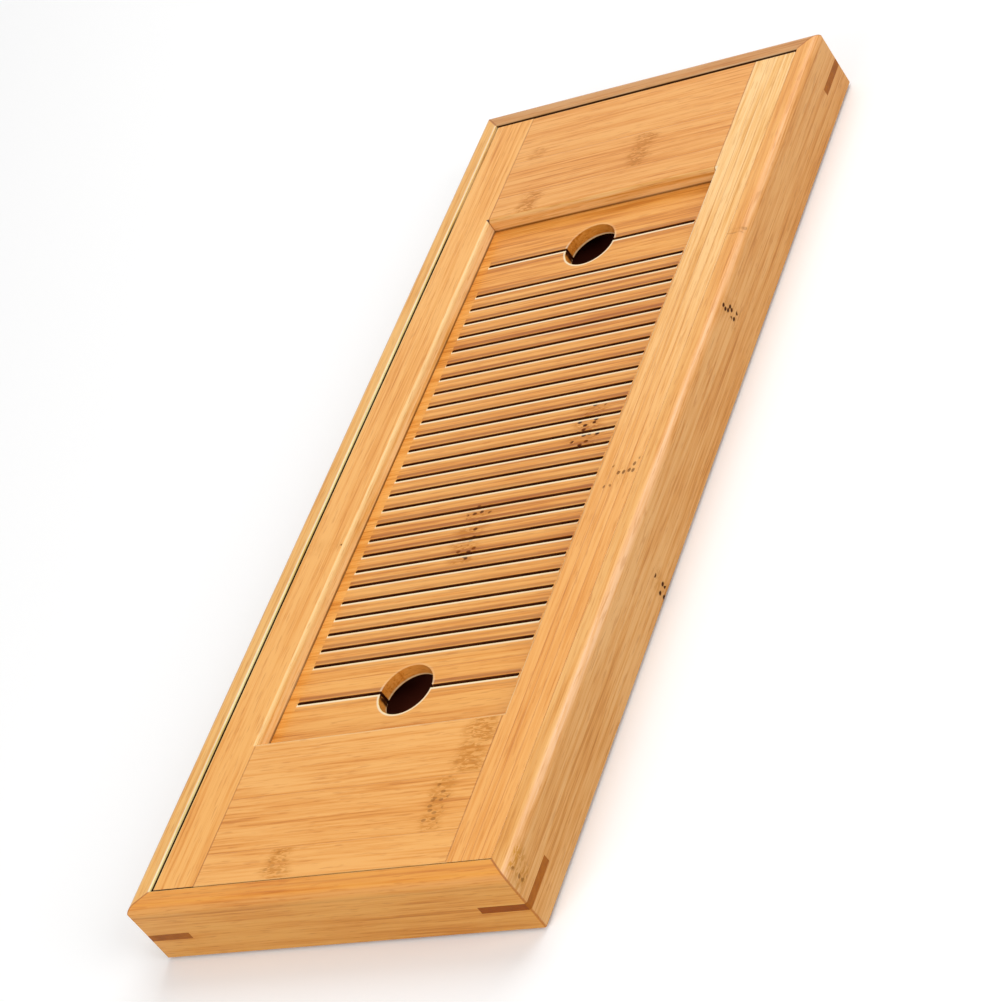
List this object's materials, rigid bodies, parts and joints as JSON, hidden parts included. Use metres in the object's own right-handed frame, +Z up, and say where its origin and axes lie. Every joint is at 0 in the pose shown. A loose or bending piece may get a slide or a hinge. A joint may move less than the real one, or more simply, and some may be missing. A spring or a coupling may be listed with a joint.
{
  "type": "gongfu tea tray",
  "caption": "Rectangular bamboo tea tray: mitred case with splined corners, a lift-off top board with a recessed slotted drain panel and finger holes, and a lift-out water tray.",
  "frame": {"origin": "centre of the footprint, on the surface that the pads stand on", "axes": "+Z up, +Y along the tray from its front end to its back end, +X to the right seen from the front end"},
  "size_m": [0.15, 0.38, 0.026],
  "materials": {
    "bamboo": "varnished honey-coloured laminated bamboo",
    "dark_wood": "varnished red-brown hardwood",
    "pad_rubber": "matte black rubber",
    "tray_plastic": "moulded black plastic, slightly glossy"
  },
  "bodies": {
    "case": {"left_rail": "bamboo", "right_rail": "bamboo", "front_rail": "bamboo", "back_rail": "bamboo", "left_ledge": "bamboo", "right_ledge": "bamboo", "front_ledge": "bamboo", "back_ledge": "bamboo", "front_left_key": "dark_wood", "front_right_key": "dark_wood", "back_left_key": "dark_wood", "back_right_key": "dark_wood", "base_board": "bamboo", "front_left_pad": "pad_rubber", "front_right_pad": "pad_rubber", "back_left_pad": "pad_rubber", "back_right_pad": "pad_rubber"},
    "top_board": {"left_stile": "bamboo", "right_stile": "bamboo", "front_end_board": "bamboo", "back_end_board": "bamboo", "drain_panel": "bamboo"},
    "reservoir": {"water_tray": "tray_plastic"}
  },
  "joints": [
    {"name": "top_board_lift", "type": "slide", "parent": "case", "child": "top_board", "axis": [0, 0, 1], "range_m": [0, 0.09]},
    {"name": "water_tray_lift", "type": "slide", "parent": "case", "child": "reservoir", "axis": [0, 0, 1], "range_m": [0, 0.045]}
  ],
  "couplings": [
    {"joint": "water_tray_lift", "follows": "top_board_lift", "ratio": 0.5}
  ]
}
